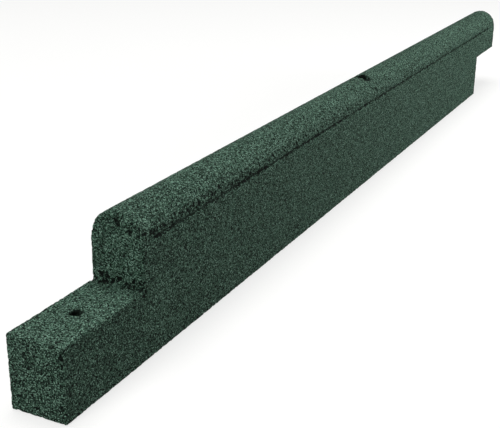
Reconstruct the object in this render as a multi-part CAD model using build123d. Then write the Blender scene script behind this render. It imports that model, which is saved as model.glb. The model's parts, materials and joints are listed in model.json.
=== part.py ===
from build123d import *
import math
import os

# Lawn edging bar, pressed in one piece from bound rubber granulate.
# It runs along X and stands on its flat base at Z = 0, with the origin under the middle of the bar.
# The lower tongue is at the -X end and the upper overhang is at the +X end.

# Driving dimensions, in millimetres

# Bar
bar_length = 1000.0         # over the tongue and the overhang
bar_width = 40.0
bar_height = 100.0          # to the top of the half-round crown
edge_radius = 1.0           # outer edges, as they leave the mould

# Shoulder, where the flat sides end and the crown begins
shoulder_ledge = 0.5        # how far the crown's half-round stands in from each side
crease_width = 1.5          # the groove along each shoulder, measured up the side
crease_depth = 1.0          # measured in from the side

# Half-lap joint
lap_length = 85.0           # of the tongue and of the overhang
tongue_height = 50.0
lap_clearance = 0.5         # over a neighbour's tongue, under the overhang

# Peg that pins two bars together through the lap
peg_diameter = 7.5
peg_clearance = 0.25        # all round the peg
peg_reach = 30.0            # how far the peg goes up into the overhang
peg_from_end = 40.0         # from the end of the tongue to the middle of the peg

# Ground spike through the crown
spike_diameter = 8.5
spike_clearance = 0.25      # all round the spike
spike_head_diameter = 14.5
spike_head_clearance = 0.25
spike_head_depth = 12.0     # seat of the head, below the top of the crown
spike_from_middle = 17.5    # along the bar, towards the overhang

# What follows from them

half_length = bar_length / 2
half_width = bar_width / 2
crown_radius = half_width - shoulder_ledge
shoulder_height = bar_height - crown_radius
underside_height = tongue_height + lap_clearance
step_x = -half_length + lap_length
notch_x = half_length - lap_length
peg_hole_radius = peg_diameter / 2 + peg_clearance
spike_hole_radius = spike_diameter / 2 + spike_clearance
spike_head_radius = spike_head_diameter / 2 + spike_head_clearance
spike_seat_height = bar_height - spike_head_depth


def crowned_section(foot):
    # Cross-section with flat sides from the given height up, a crease on each shoulder and the crown.
    crown_foot = shoulder_height + crease_width
    crown_foot_y = math.sqrt(crown_radius**2 - crease_width**2)
    crease_y = half_width - crease_depth
    crease_z = shoulder_height + crease_width / 2
    sides = Polyline(
        (-crown_foot_y, crown_foot),
        (-crease_y, crease_z),
        (-half_width, shoulder_height),
        (-half_width, foot),
        (half_width, foot),
        (half_width, shoulder_height),
        (crease_y, crease_z),
        (crown_foot_y, crown_foot),
    )
    crown = ThreePointArc((crown_foot_y, crown_foot), (0, bar_height), (-crown_foot_y, crown_foot))
    section = make_face(sides + crown)
    return fillet(section.vertices().group_by(Axis.Y)[0], edge_radius)


def tongue_section():
    # Cross-section of the tongue, rounded on all four long edges.
    return Pos(0, tongue_height / 2) * RectangleRounded(bar_width, tongue_height, edge_radius)


def run(section, start_x, end_x):
    # A cross-section carried along the bar.
    return extrude(Plane.YZ.offset(start_x) * section, amount=end_x - start_x, dir=(1, 0, 0))


def side_outline():
    # The bar seen from the side, with its outer corners rounded.
    outline = Polyline(
        (-half_length, 0),
        (notch_x, 0),
        (notch_x, underside_height),
        (half_length, underside_height),
        (half_length, bar_height),
        (step_x, bar_height),
        (step_x, tongue_height),
        (-half_length, tongue_height),
        close=True,
    )
    inner_corners = [(notch_x, underside_height), (step_x, tongue_height)]

    def is_outer(corner):
        return all(math.dist((corner.X, corner.Y), inner) > edge_radius for inner in inner_corners)

    face = make_face(outline)
    return fillet(face.vertices().filter_by(is_outer), edge_radius)


def plan_outline():
    # The bar seen from above, with its upright corners rounded.
    return RectangleRounded(bar_length, bar_width, edge_radius)


def hole(radius, x, low, high):
    # A round hole down the middle of the bar's width.
    return Pos(x, 0, (low + high) / 2) * Cylinder(radius, high - low)


def edging_bar():
    middle = run(crowned_section(0), step_x, notch_x)
    tongue = run(tongue_section(), -half_length, step_x)
    overhang = run(crowned_section(underside_height), notch_x, half_length)
    bar = middle + tongue + overhang

    # The upright corners at the bar's ends, then the edges that run across it.
    # Both outlines are carried well past the bar, so that only their own edges trim it.
    bar = bar & extrude(plan_outline(), amount=2 * bar_height, both=True)
    bar = bar & extrude(Plane.XZ * side_outline(), amount=bar_width, both=True)

    # The peg's holes, through the tongue and up into the overhang, where a neighbour's tongue has its own
    tongue_hole_x = -half_length + peg_from_end
    overhang_hole_x = notch_x + peg_from_end
    bar -= hole(peg_hole_radius, tongue_hole_x, 0, tongue_height)
    bar -= hole(peg_hole_radius, overhang_hole_x, underside_height, underside_height + peg_reach)

    # The spike's hole and the seat for its head
    bar -= hole(spike_hole_radius, spike_from_middle, 0, spike_seat_height)
    bar -= hole(spike_head_radius, spike_from_middle, spike_seat_height, bar_height)
    return bar


def save(name, shape):
    shape.label = name
    export_step(shape, os.path.join("parts", name + ".step"))


os.makedirs("parts", exist_ok=True)
save("edging_bar", edging_bar())
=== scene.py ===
import json
import math

import bmesh
import bpy
from mathutils import Matrix, Vector


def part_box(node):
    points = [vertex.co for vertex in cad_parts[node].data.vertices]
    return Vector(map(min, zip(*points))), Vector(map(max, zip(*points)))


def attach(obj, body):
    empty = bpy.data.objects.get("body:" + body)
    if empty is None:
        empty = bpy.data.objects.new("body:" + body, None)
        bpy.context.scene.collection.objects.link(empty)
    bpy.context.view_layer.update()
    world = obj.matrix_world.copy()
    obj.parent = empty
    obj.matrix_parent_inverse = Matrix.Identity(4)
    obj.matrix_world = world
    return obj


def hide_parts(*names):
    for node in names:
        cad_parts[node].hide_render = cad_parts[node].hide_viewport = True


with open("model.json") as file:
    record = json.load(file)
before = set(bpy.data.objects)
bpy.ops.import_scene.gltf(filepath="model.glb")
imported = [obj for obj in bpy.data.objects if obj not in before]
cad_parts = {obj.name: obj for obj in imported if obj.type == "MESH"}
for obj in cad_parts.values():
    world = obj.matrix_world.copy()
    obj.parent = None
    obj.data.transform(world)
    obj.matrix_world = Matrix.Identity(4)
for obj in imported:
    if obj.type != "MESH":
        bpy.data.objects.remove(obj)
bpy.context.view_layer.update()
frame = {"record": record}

print("frame loaded")

mm = 0.001
barLow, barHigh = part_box("edging_bar")
mounts = {mount["name"]: mount for mount in frame["record"]["mounts"]}
openings = {opening["name"]: opening["box_m"] for opening in frame["record"]["physics"]["openings"]}


def linearColour(hexColour):
    channels = [int(hexColour[i:i + 2], 16) / 255 for i in (1, 3, 5)]
    return [c / 12.92 if c <= 0.04045 else ((c + 0.055) / 1.055) ** 2.4 for c in channels] + [1]


def emptyTree(owner):
    owner.use_nodes = True
    owner.node_tree.nodes.clear()
    return owner.node_tree


def addNode(tree, kind, settings=None, links=None):
    # a setting goes to the node itself, or else to the input of that name or number
    node = tree.nodes.new(kind)
    for name, value in (settings or {}).items():
        if isinstance(name, str) and hasattr(node, name):
            setattr(node, name, value)
        else:
            node.inputs[name].default_value = value
    for name, socket in (links or {}).items():
        tree.links.new(socket, node.inputs[name])
    return node


# the camera stands where the photograph was taken from, worked out from the bar's corners

photoCamera = {
    "place": (-876.3 * mm, -320.8 * mm, 309.4 * mm),
    "azimuth": -63.67,      # degrees, 0 looks along +Y
    "elevation": 20.74,     # how far it looks down
    "roll": 0.77,
    "focal": 964.7,         # in pixels of a frame 500 wide
    "frameWidth": 500,
    "sensor": 36,
    "clipStart": 10 * mm,
}


def makeCamera(plan):
    data = bpy.data.cameras.new("photoCamera")
    data.sensor_width = plan["sensor"]
    data.lens = plan["focal"] * plan["sensor"] / plan["frameWidth"]
    data.clip_start = plan["clipStart"]
    camera = bpy.data.objects.new("photoCamera", data)
    bpy.context.scene.collection.objects.link(camera)
    turn = Matrix.Rotation(math.radians(plan["azimuth"]), 4, "Z")
    tilt = Matrix.Rotation(math.radians(90 - plan["elevation"]), 4, "X")
    roll = Matrix.Rotation(math.radians(plan["roll"]), 4, "Z")
    camera.matrix_world = Matrix.Translation(plan["place"]) @ turn @ tilt @ roll
    bpy.context.scene.camera = camera


makeCamera(photoCamera)
print("camera placed")


# the bar's moulded form: three blocks and the round crown, fused, with the holes for the peg and the spike

barForm = {
    "ledge": 0.5 * mm,          # how far the round crown stands in from each side
    "edge": 1.0 * mm,           # rounding that the mould leaves
    "edgeSteps": 3,
    "crownSides": 96,
    "holeSides": 48,
    "inside": 6.0 * mm,         # how far a block runs into the next one
    "past": 5.0 * mm,           # how far a cutter stands out of what it cuts
    "seatGap": 0.2 * mm,        # between each lap's seat and the solid beside it
}
halfWidth = barHigh.y
crownRadius = halfWidth - barForm["ledge"]
shoulder = barHigh.z - crownRadius
tongueTop = mounts["tongue_top"]["pos_m"][2]
underside = mounts["overhang_underside"]["pos_m"][2]
stepX = openings["tongue_seat"][1][0] + barForm["seatGap"]
notchX = openings["overhang_seat"][0][0] - barForm["seatGap"]


def newObject(name, bm):
    mesh = bpy.data.meshes.new(name)
    bm.to_mesh(mesh)
    bm.free()
    made = bpy.data.objects.new(name, mesh)
    bpy.context.scene.collection.objects.link(made)
    return made


def roundEdges(bm, edges):
    bmesh.ops.bevel(bm, geom=edges, offset=barForm["edge"], segments=barForm["edgeSteps"], profile=0.5,
                    affect="EDGES", material=-1)


def addBlock(bm, low, high):
    place = Matrix.Translation((Vector(low) + Vector(high)) / 2)
    size = Matrix.Diagonal((*(Vector(high) - Vector(low)), 1))
    corners = set(bmesh.ops.create_cube(bm, size=1, matrix=place @ size)["verts"])
    roundEdges(bm, [edge for edge in bm.edges if corners.issuperset(edge.verts)])


def addRound(bm, radius, start, end, sides):
    start, end = Vector(start), Vector(end)
    turn = (end - start).to_track_quat("Z", "Y").to_matrix().to_4x4()
    return bmesh.ops.create_cone(bm, cap_ends=True, segments=sides, radius1=radius, radius2=radius,
                                 depth=(end - start).length,
                                 matrix=Matrix.Translation((start + end) / 2) @ turn)["verts"]


def fusedBlocks():
    bm = bmesh.new()
    inside = barForm["inside"]
    addBlock(bm, (stepX, -halfWidth, 0), (notchX, halfWidth, shoulder))
    addBlock(bm, (barLow.x, -halfWidth, 0), (stepX + inside, halfWidth, tongueTop))
    addBlock(bm, (notchX - inside, -halfWidth, underside), (barHigh.x, halfWidth, shoulder))
    crown = set(addRound(bm, crownRadius, (stepX, 0, shoulder), (barHigh.x, 0, shoulder),
                         barForm["crownSides"]))
    # the crown's short edges are those round its two ends
    roundEdges(bm, [edge for edge in bm.edges
                    if crown.issuperset(edge.verts) and edge.calc_length() < crownRadius])
    bmesh.ops.recalc_face_normals(bm, faces=bm.faces)
    return newObject("fusedBlocks", bm)


def holeCutters():
    bm = bmesh.new()
    for name in ("tongue_peg_hole", "overhang_peg_hole", "spike_hole", "spike_head_seat"):
        hole = mounts[name]
        middle = Vector(hole["pos_m"])
        half = Vector((0, 0, hole["dims"]["length_mm"] * mm / 2))
        low, high = middle - half, middle + half
        if name != "spike_head_seat":       # which has a floor
            low.z -= barForm["past"]
        if name != "overhang_peg_hole":     # which is blind
            high.z += barForm["past"]
        addRound(bm, hole["dims"]["r_mm"] * mm, low, high, barForm["holeSides"])
    bmesh.ops.recalc_face_normals(bm, faces=bm.faces)
    return newObject("holeCutters", bm)


# its surface, with the relief that rubber granules leave where they lie against the mould

granules = {
    "largeSize": 3.0 * mm,      # the few large granules, which the mesh is fine enough to hold
    "largeDepth": 0.24 * mm,    # from a granule's top to the gap beside it
    "smallSize": 0.8 * mm,      # the many small ones, which the material draws
    "smallDepth": 0.32 * mm,
    "gapFrom": 0.42,            # where a granule's rim turns down, as a share of its size
    "gapTo": 0.74,              # and where the gap beside it is deepest
    "sunk": 0.8,                # how deep the lowest granules lie, as a share of the gap's depth
    "sunkFrom": 0.48,           # share of the granules that lie level
    "sunkTo": 0.93,             # past this share they lie lowest
    "wobble": 0.28,             # how far outlines stray from round, as a share of their size
    "wobbleWaves": 1.7,         # how many of those strays there are to a granule
}

missing = {
    "poreSize": 3.2 * mm,       # spacing of open pores, where granules are missing
    "poreDepth": 0.6 * mm,
    "poreFrom": 0.66,           # noise level at which a pore opens
    "poreTo": 0.73,             # and at which it is fully open
    "badFill": 0.19,            # how much more of that noise there is in the mould's inner corners, which also paints shade there
    "badFillReach": 8.0 * mm,
    "badFillShape": (1, 0, 0.5),            # at the laps it reaches further up and down than along
    "badFillFades": 0.5,        # along the shoulders what is left of it past the middle of the bar
    "tornSize": 2.4 * mm,       # raggedness of what has torn
    "tornStray": 2.4 * mm,      # how far its outline strays each way
    "tornDepth": 0.8 * mm,
    "creaseHeight": shoulder + 0.6 * mm,    # the crease along each shoulder
    "creaseInset": 0.5 * mm,
    "creaseReach": 0.75 * mm,
    "creaseSoft": 0.6 * mm,
    "creaseShape": (0, 0.3, 1),             # it reaches further in than up and down
    "creaseFade": 45 * mm,      # it comes and goes along the bar
    "creaseFadeFrom": 0.35,     # noise level up to which it is at its least
    "creaseFadeTo": 0.55,       # and from which it is whole
    "creaseLeast": 0.85,
    "creaseStart": 16 * mm,     # from the step to where it has opened up
    "creaseEnd": (30 * mm, 10 * mm),        # from the overhang's end to where it narrows and closes
    "spotSoft": 0.7 * mm,
    # torn spots in mm, each with how far it reaches as its last number: by the spike's seat the others
    # are its place along, across and up, and on the step's face and the tongue's end across and up
    "seatSpots": ((5, -14, 94.1, 1.8), (7, -15.5, 92.4, 1.8), (12, -17, 90, 1.8),
                  (10, -6.5, 98.9, 2.6), (14, -8, 98.3, 2.4), (18, -8, 98.3, 2.2)),
    "stepSpots": ((1, 93.8, 1.8), (-1.3, 91.4, 1.5), (-10.3, 87.4, 1.8)),
    "tongueSpots": ((-19.9, 47.5, 1.2), (-18.9, 43.5, 1.5), (-19.3, 39.2, 1.2), (-17.7, 31.2, 1.2),
                    (-16.7, 11.4, 1.4)),
    "holeReach": 0.7 * mm,      # how far the painted shade of a hole reaches past its wall
}

barMesh = {
    "voxel": 0.70 * mm,         # of the grid that fuses the form and takes the relief
    "triangles": 192000,        # left after thinning
}


def strayedPlace(tree, place, size, stray):
    # the place, moved by smooth noise of that size by up to stray each way
    noise = addNode(tree, "ShaderNodeTexNoise", {"Scale": 1 / size, "Detail": 1.0}, {"Vector": place})
    centred = addNode(tree, "ShaderNodeVectorMath", {"operation": "SUBTRACT", 1: (0.5, 0.5, 0.5)},
                      {0: noise.outputs["Color"]})
    moved = addNode(tree, "ShaderNodeVectorMath", {"operation": "MULTIPLY_ADD", 1: [2 * stray] * 3},
                    {0: centred.outputs[0], 2: place})
    return moved.outputs[0]


def granulePattern(tree, place, size):
    # round granules of about one size, sunk by chance, with gaps where none of them reaches; the material
    # darkens the gaps, partly as black rubber and partly as painted shade, and the sunk granules as
    # painted shade
    strayed = strayedPlace(tree, place, size / granules["wobbleWaves"], granules["wobble"] * size)
    cell = addNode(tree, "ShaderNodeTexVoronoi", {"Scale": 1 / size}, {"Vector": strayed})
    gap = addNode(tree, "ShaderNodeMapRange",
                  {"interpolation_type": "SMOOTHSTEP", "From Min": granules["gapFrom"],
                   "From Max": granules["gapTo"]}, {"Value": cell.outputs["Distance"]})
    chance = addNode(tree, "ShaderNodeSeparateXYZ", {}, {0: cell.outputs["Color"]})
    low = addNode(tree, "ShaderNodeMapRange",
                  {"interpolation_type": "SMOOTHSTEP", "From Min": granules["sunkFrom"],
                   "From Max": granules["sunkTo"]}, {"Value": chance.outputs[0]})
    depth = addNode(tree, "ShaderNodeMath", {"operation": "MULTIPLY_ADD", 1: granules["sunk"]},
                    {0: low.outputs[0], 2: gap.outputs[0]})
    return {"depth": depth.outputs[0], "gap": gap.outputs[0], "low": low.outputs[0],
            "chance": chance.outputs[1]}


def closeness(tree, place, middle, axes, reach, soft):
    # 1 within reach of a point, or of a line along the axes that are 0, and falling to 0 softly
    aside = addNode(tree, "ShaderNodeVectorMath", {"operation": "SUBTRACT", 1: middle}, {0: place})
    across = addNode(tree, "ShaderNodeVectorMath", {"operation": "MULTIPLY", 1: axes},
                     {0: aside.outputs[0]})
    away = addNode(tree, "ShaderNodeVectorMath", {"operation": "LENGTH"}, {0: across.outputs[0]})
    near = addNode(tree, "ShaderNodeMapRange",
                   {"interpolation_type": "SMOOTHSTEP", "From Min": reach, "From Max": reach + soft,
                    "To Min": 1.0, "To Max": 0.0}, {"Value": away.outputs["Value"]})
    return near.outputs[0]


def mostOf(tree, parts):
    most = parts[0]
    for part in parts[1:]:
        most = addNode(tree, "ShaderNodeMath", {"operation": "MAXIMUM"}, {0: most, 1: part}).outputs[0]
    return most


def openPores(tree, place):
    # pores where granules are missing, most of them in the mould's inner corners; the material paints
    # shade in them too, which darkens those corners and shoulders
    reach = missing["badFillReach"]
    along = addNode(tree, "ShaderNodeSeparateXYZ", {}, {0: place}).outputs[0]
    bothSides = addNode(tree, "ShaderNodeVectorMath", {"operation": "ABSOLUTE"}, {0: place}).outputs[0]
    shoulderLine = (0, halfWidth, missing["creaseHeight"] + reach / 2)
    shoulders = closeness(tree, bothSides, shoulderLine, (0, 1, 1), 0, reach)
    fade = addNode(tree, "ShaderNodeMapRange",
                   {"From Min": stepX, "From Max": 0.0, "To Min": 1.0,
                    "To Max": missing["badFillFades"]}, {"Value": along})
    faded = addNode(tree, "ShaderNodeMath", {"operation": "MULTIPLY"}, {0: shoulders, 1: fade.outputs[0]})
    badFill = mostOf(tree, [
        closeness(tree, place, (stepX, 0, tongueTop), missing["badFillShape"], 0, reach),
        closeness(tree, place, (notchX, 0, underside), missing["badFillShape"], 0, reach),
        faded.outputs[0],
    ])
    cloud = addNode(tree, "ShaderNodeTexNoise", {"Scale": 1 / missing["poreSize"], "Detail": 2.0},
                    {"Vector": place})
    level = addNode(tree, "ShaderNodeMath", {"operation": "MULTIPLY_ADD", 1: missing["badFill"]},
                    {0: badFill, 2: cloud.outputs[0]})
    pore = addNode(tree, "ShaderNodeMapRange",
                   {"interpolation_type": "SMOOTHSTEP", "From Min": missing["poreFrom"],
                    "From Max": missing["poreTo"]}, {"Value": level.outputs[0]})
    return pore.outputs[0]


def tornCrease(tree, place, strayed):
    # the crease along both shoulders, which comes and goes and closes up before the bar's ends; the
    # material paints shade in it, besides the bare rubber where it is torn
    bothSides = addNode(tree, "ShaderNodeVectorMath", {"operation": "ABSOLUTE"}, {0: strayed}).outputs[0]
    creaseLine = (0, halfWidth - missing["creaseInset"], missing["creaseHeight"])
    crease = closeness(tree, bothSides, creaseLine, missing["creaseShape"],
                       missing["creaseReach"], missing["creaseSoft"])
    slow = addNode(tree, "ShaderNodeTexNoise", {"Scale": 1 / missing["creaseFade"], "Detail": 1.0},
                   {"Vector": place})
    fade = addNode(tree, "ShaderNodeMapRange",
                   {"From Min": missing["creaseFadeFrom"], "From Max": missing["creaseFadeTo"],
                    "To Min": missing["creaseLeast"]}, {"Value": slow.outputs[0]})
    along = addNode(tree, "ShaderNodeSeparateXYZ", {}, {0: place}).outputs[0]
    rise = addNode(tree, "ShaderNodeMapRange",
                   {"From Min": stepX, "From Max": stepX + missing["creaseStart"]}, {"Value": along})
    narrows, closes = missing["creaseEnd"]
    fall = addNode(tree, "ShaderNodeMapRange",
                   {"From Min": barHigh.x - narrows, "From Max": barHigh.x - closes,
                    "To Min": 1.0, "To Max": 0.0}, {"Value": along})
    for part in (fade, rise, fall):
        crease = addNode(tree, "ShaderNodeMath", {"operation": "MULTIPLY"},
                         {0: crease, 1: part.outputs[0]}).outputs[0]
    return crease


def tornPlaces(tree, place):
    # the torn crease and the torn spots, all with the same ragged outlines; the material paints shade in
    # them, besides the bare rubber where they are torn
    strayed = strayedPlace(tree, place, missing["tornSize"], missing["tornStray"])
    spots = [(x * mm, y, z, reach) for x, y, z, reach in missing["seatSpots"]]
    spots += [(stepX, y, z, reach) for y, z, reach in missing["stepSpots"]]
    spots += [(barLow.x, y, z, reach) for y, z, reach in missing["tongueSpots"]]
    torn = [tornCrease(tree, place, strayed)]
    for x, y, z, reach in spots:
        torn.append(closeness(tree, strayed, (x, y * mm, z * mm), (1, 1, 1), reach * mm,
                              missing["spotSoft"]))
    return mostOf(tree, torn)


def reliefNodes():
    tree = bpy.data.node_groups.new("granulateRelief", "GeometryNodeTree")
    tree.interface.new_socket("Geometry", in_out="INPUT", socket_type="NodeSocketGeometry")
    tree.interface.new_socket("Geometry", in_out="OUTPUT", socket_type="NodeSocketGeometry")
    start = addNode(tree, "NodeGroupInput")
    place = addNode(tree, "GeometryNodeInputPosition").outputs[0]
    normal = addNode(tree, "GeometryNodeInputNormal")
    large = granulePattern(tree, place, granules["largeSize"])
    depth = addNode(tree, "ShaderNodeMath", {"operation": "MULTIPLY", 1: granules["largeDepth"]},
                    {0: large["depth"]})
    withPores = addNode(tree, "ShaderNodeMath", {"operation": "MULTIPLY_ADD", 1: missing["poreDepth"]},
                        {0: openPores(tree, place), 2: depth.outputs[0]})
    withTorn = addNode(tree, "ShaderNodeMath", {"operation": "MULTIPLY_ADD", 1: missing["tornDepth"]},
                       {0: tornPlaces(tree, place), 2: withPores.outputs[0]})
    inward = addNode(tree, "ShaderNodeMath", {"operation": "MULTIPLY", 1: -1.0}, {0: withTorn.outputs[0]})
    offset = addNode(tree, "ShaderNodeVectorMath", {"operation": "SCALE"},
                     {0: normal.outputs[0], "Scale": inward.outputs[0]})
    moved = addNode(tree, "GeometryNodeSetPosition", {},
                    {"Geometry": start.outputs[0], "Offset": offset.outputs[0]})
    addNode(tree, "NodeGroupOutput", {}, {0: moved.outputs[0]})
    return tree


def evaluatedMesh(source, name):
    depsgraph = bpy.context.evaluated_depsgraph_get()
    mesh = bpy.data.meshes.new_from_object(source.evaluated_get(depsgraph), depsgraph=depsgraph)
    mesh.name = name
    return mesh


def makeBar():
    form = fusedBlocks()
    cutters = holeCutters()
    holes = form.modifiers.new("holes", "BOOLEAN")
    holes.operation = "DIFFERENCE"
    holes.use_self = True       # the blocks run into each other
    holes.object = cutters
    grid = form.modifiers.new("grid", "REMESH")
    grid.mode = "VOXEL"
    grid.voxel_size = barMesh["voxel"]
    relief = form.modifiers.new("relief", "NODES")
    relief.node_group = reliefNodes()
    fine = evaluatedMesh(form, "barFine")
    fine.calc_loop_triangles()
    print("relief pressed in,", len(fine.loop_triangles), "triangles")

    thin = form.modifiers.new("thin", "DECIMATE")
    thin.ratio = barMesh["triangles"] / len(fine.loop_triangles)
    piece = bpy.data.objects.new("granulate_bar", evaluatedMesh(form, "granulate_bar"))
    bpy.context.scene.collection.objects.link(piece)
    for helper in (form, cutters):
        bpy.data.objects.remove(helper)
    bpy.data.meshes.remove(fine)
    for vertex in piece.data.vertices:      # thinning lifts a few of them out of the bar's size
        vertex.co = [min(max(c, low), high) for c, low, high in zip(vertex.co, barLow, barHigh)]
    piece.data.calc_loop_triangles()
    print("thinned to", len(piece.data.loop_triangles), "triangles")
    piece.data.shade_smooth()
    return piece


# rubber granulate, dyed green and bound with polyurethane, pressed in a steel mould:
# matt granules of many greens under a thin skin of binder, with near-black gaps and pores between them,
# partly the black rubber and partly painted shade

rubber = {
    "darkGranule": "#2b4137",
    "midGranule": "#567865",
    "paleGranule": "#8cb29e",
    # near-black of the bare rubber, which also serves as painted shade in the gaps, pits, crease and holes
    "gap": "#070c09",
    "gapShade": 0.93,           # how dark the gaps between granules get, partly the black rubber between them and partly painted shade
    "pitShade": 0.98,           # and the pits, which go deeper: painted shade on the sunk granules and in the holes, partly bare black rubber in the pores and torn places
    "roughness": 0.8,
    "ior": 1.50,
    "specular": 0.10,           # the torn rubber scatters most of its shine
    "crumbSize": 0.5 * mm,      # torn skin of each granule
    "crumbDepth": 0.05 * mm,
}


def pressedRubberGranulate():
    material = bpy.data.materials.new("pressedRubberGranulate")
    tree = emptyTree(material)
    place = addNode(tree, "ShaderNodeTexCoord").outputs["Object"]
    small = granulePattern(tree, place, granules["smallSize"])
    # painted shade inside the two holes that open upwards, reaching a little past their walls
    holeShade = [closeness(tree, place, (mounts[name]["pos_m"][0], 0, 0), (1, 1, 0),
                       mounts[name]["dims"]["r_mm"] * mm, missing["holeReach"])
             for name in ("tongue_peg_hole", "spike_head_seat")]

    tones = addNode(tree, "ShaderNodeValToRGB", {}, {0: small["chance"]})
    stops = tones.color_ramp.elements
    stops[0].color = linearColour(rubber["darkGranule"])
    stops[1].color = linearColour(rubber["paleGranule"])
    middle = stops.new(0.5)
    middle.color = linearColour(rubber["midGranule"])

    gapsBlackAndShade = addNode(tree, "ShaderNodeMath", {"operation": "MULTIPLY", 1: rubber["gapShade"]},
                   {0: small["gap"]})
    # painted shade on the sunk granules and in the holes, and on the pores and the torn crease and spots,
    # where the bare black rubber also shows
    pitsShadedAndBare = mostOf(tree, [small["low"], openPores(tree, place), tornPlaces(tree, place)] + holeShade)
    pits = addNode(tree, "ShaderNodeMath", {"operation": "MULTIPLY", 1: rubber["pitShade"]}, {0: pitsShadedAndBare})
    blackAndPaintedShade = addNode(tree, "ShaderNodeMath", {"operation": "MAXIMUM"},
                    {0: gapsBlackAndShade.outputs[0], 1: pits.outputs[0]})
    colour = addNode(tree, "ShaderNodeMix", {"data_type": "RGBA", 7: linearColour(rubber["gap"])},
                     {0: blackAndPaintedShade.outputs[0], 6: tones.outputs[0]})      # inputs 6 and 7 are its two colours

    crumb = addNode(tree, "ShaderNodeTexNoise", {"Scale": 1 / rubber["crumbSize"], "Detail": 2.0},
                    {"Vector": place})
    crumbs = addNode(tree, "ShaderNodeMath", {"operation": "MULTIPLY", 1: rubber["crumbDepth"]},
                     {0: crumb.outputs[0]})
    height = addNode(tree, "ShaderNodeMath", {"operation": "MULTIPLY_ADD", 1: -granules["smallDepth"]},
                     {0: small["depth"], 2: crumbs.outputs[0]})
    bump = addNode(tree, "ShaderNodeBump", {"Strength": 1.0, "Distance": 1.0},
                   {"Height": height.outputs[0]})
    surface = addNode(tree, "ShaderNodeBsdfPrincipled",
                      {"Roughness": rubber["roughness"], "IOR": rubber["ior"],
                       "Specular IOR Level": rubber["specular"]},
                      {"Base Color": colour.outputs[2], "Normal": bump.outputs[0]})
    addNode(tree, "ShaderNodeOutputMaterial", {}, {"Surface": surface.outputs[0]})
    return material


bar = makeBar()
bar.data.materials.clear()
bar.data.materials.append(pressedRubberGranulate())
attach(bar, "root")
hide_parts("edging_bar")
print("bar made")


# pale floor, which the camera sees as white but for the bar's shadow, in a pale room with three lamps

studio = {
    "floorSize": 60.0,
    "floorColour": "#9c9c9a",
    "floorGlow": 0.68,          # seen by the camera alone
    "roomStrength": 0.32,       # of the room's light on the bar
}

# the lamp above lights the crown and the tongue's top, the one at the side the long side towards the
# overhang, and the one at the end the tongue's end
lamps = {
    "overheadLamp": {"place": (-0.1, 0.3, 2.6), "aim": (0.0, 0.0, 0.0), "size": 1.6, "watts": 46},
    "sideLamp": {"place": (0.7, -1.0, 0.35), "aim": (0.4, 0.0, 0.05), "size": 0.5, "watts": 8.6},
    "endLamp": {"place": (-2.0, 0.2, 0.9), "aim": (-0.5, 0.0, 0.05), "size": 0.8, "watts": 13},
}


def makeFloor():
    bm = bmesh.new()
    bmesh.ops.create_grid(bm, x_segments=1, y_segments=1, size=studio["floorSize"] / 2)
    floor = newObject("studioFloor", bm)

    material = bpy.data.materials.new("mattFloor")
    tree = emptyTree(material)
    ray = addNode(tree, "ShaderNodeLightPath").outputs["Is Camera Ray"]
    matt = addNode(tree, "ShaderNodeBsdfDiffuse", {"Color": linearColour(studio["floorColour"])})
    strength = addNode(tree, "ShaderNodeMath", {"operation": "MULTIPLY", 1: studio["floorGlow"]}, {0: ray})
    glow = addNode(tree, "ShaderNodeEmission", {}, {"Strength": strength.outputs[0]})
    both = addNode(tree, "ShaderNodeAddShader", {}, {0: matt.outputs[0], 1: glow.outputs[0]})
    addNode(tree, "ShaderNodeOutputMaterial", {}, {"Surface": both.outputs[0]})
    floor.data.materials.append(material)


def makeRoom():
    world = bpy.data.worlds.new("studioRoom")
    bpy.context.scene.world = world
    tree = emptyTree(world)
    ray = addNode(tree, "ShaderNodeLightPath").outputs["Is Camera Ray"]
    strength = addNode(tree, "ShaderNodeMapRange", {"To Min": studio["roomStrength"], "To Max": 1.0},
                       {"Value": ray})
    room = addNode(tree, "ShaderNodeBackground", {}, {"Strength": strength.outputs[0]})
    addNode(tree, "ShaderNodeOutputWorld", {}, {"Surface": room.outputs[0]})


def makeLamp(name, place, aim, size, watts):
    data = bpy.data.lights.new(name, "AREA")
    data.shape = "DISK"
    data.size = size
    data.energy = watts
    lamp = bpy.data.objects.new(name, data)
    bpy.context.scene.collection.objects.link(lamp)
    back = Vector(place) - Vector(aim)
    lamp.matrix_world = Matrix.Translation(place) @ back.to_track_quat("Z", "Y").to_matrix().to_4x4()


makeFloor()
makeRoom()
for name, plan in lamps.items():
    makeLamp(name, **plan)
print("studio lit")

scene = bpy.context.scene
scene.view_settings.view_transform = "Standard"
